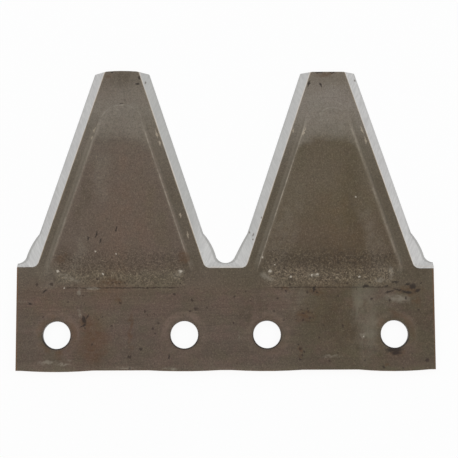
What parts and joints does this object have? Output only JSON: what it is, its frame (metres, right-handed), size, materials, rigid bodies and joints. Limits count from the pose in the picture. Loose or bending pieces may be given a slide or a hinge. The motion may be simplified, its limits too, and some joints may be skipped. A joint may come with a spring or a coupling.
{
  "type": "double sickle section",
  "caption": "Flat steel cutting section for a double-knife mower: smooth bevelled teeth on a drilled base bar, with a pressed stiffening panel on each tooth.",
  "frame": {"origin": "middle of the row of holes, on the flat back", "axes": "+X along the base bar, +Y towards the tooth tips, +Z out of the bevelled side"},
  "size_m": [0.1518, 0.1109, 0.0034],
  "materials": {
    "plate_steel": "dark brown mill and hardening skin with light rust, ground bright on the bevels"
  },
  "bodies": {
    "root": {"knife_section": "plate_steel"}
  },
  "joints": []
}
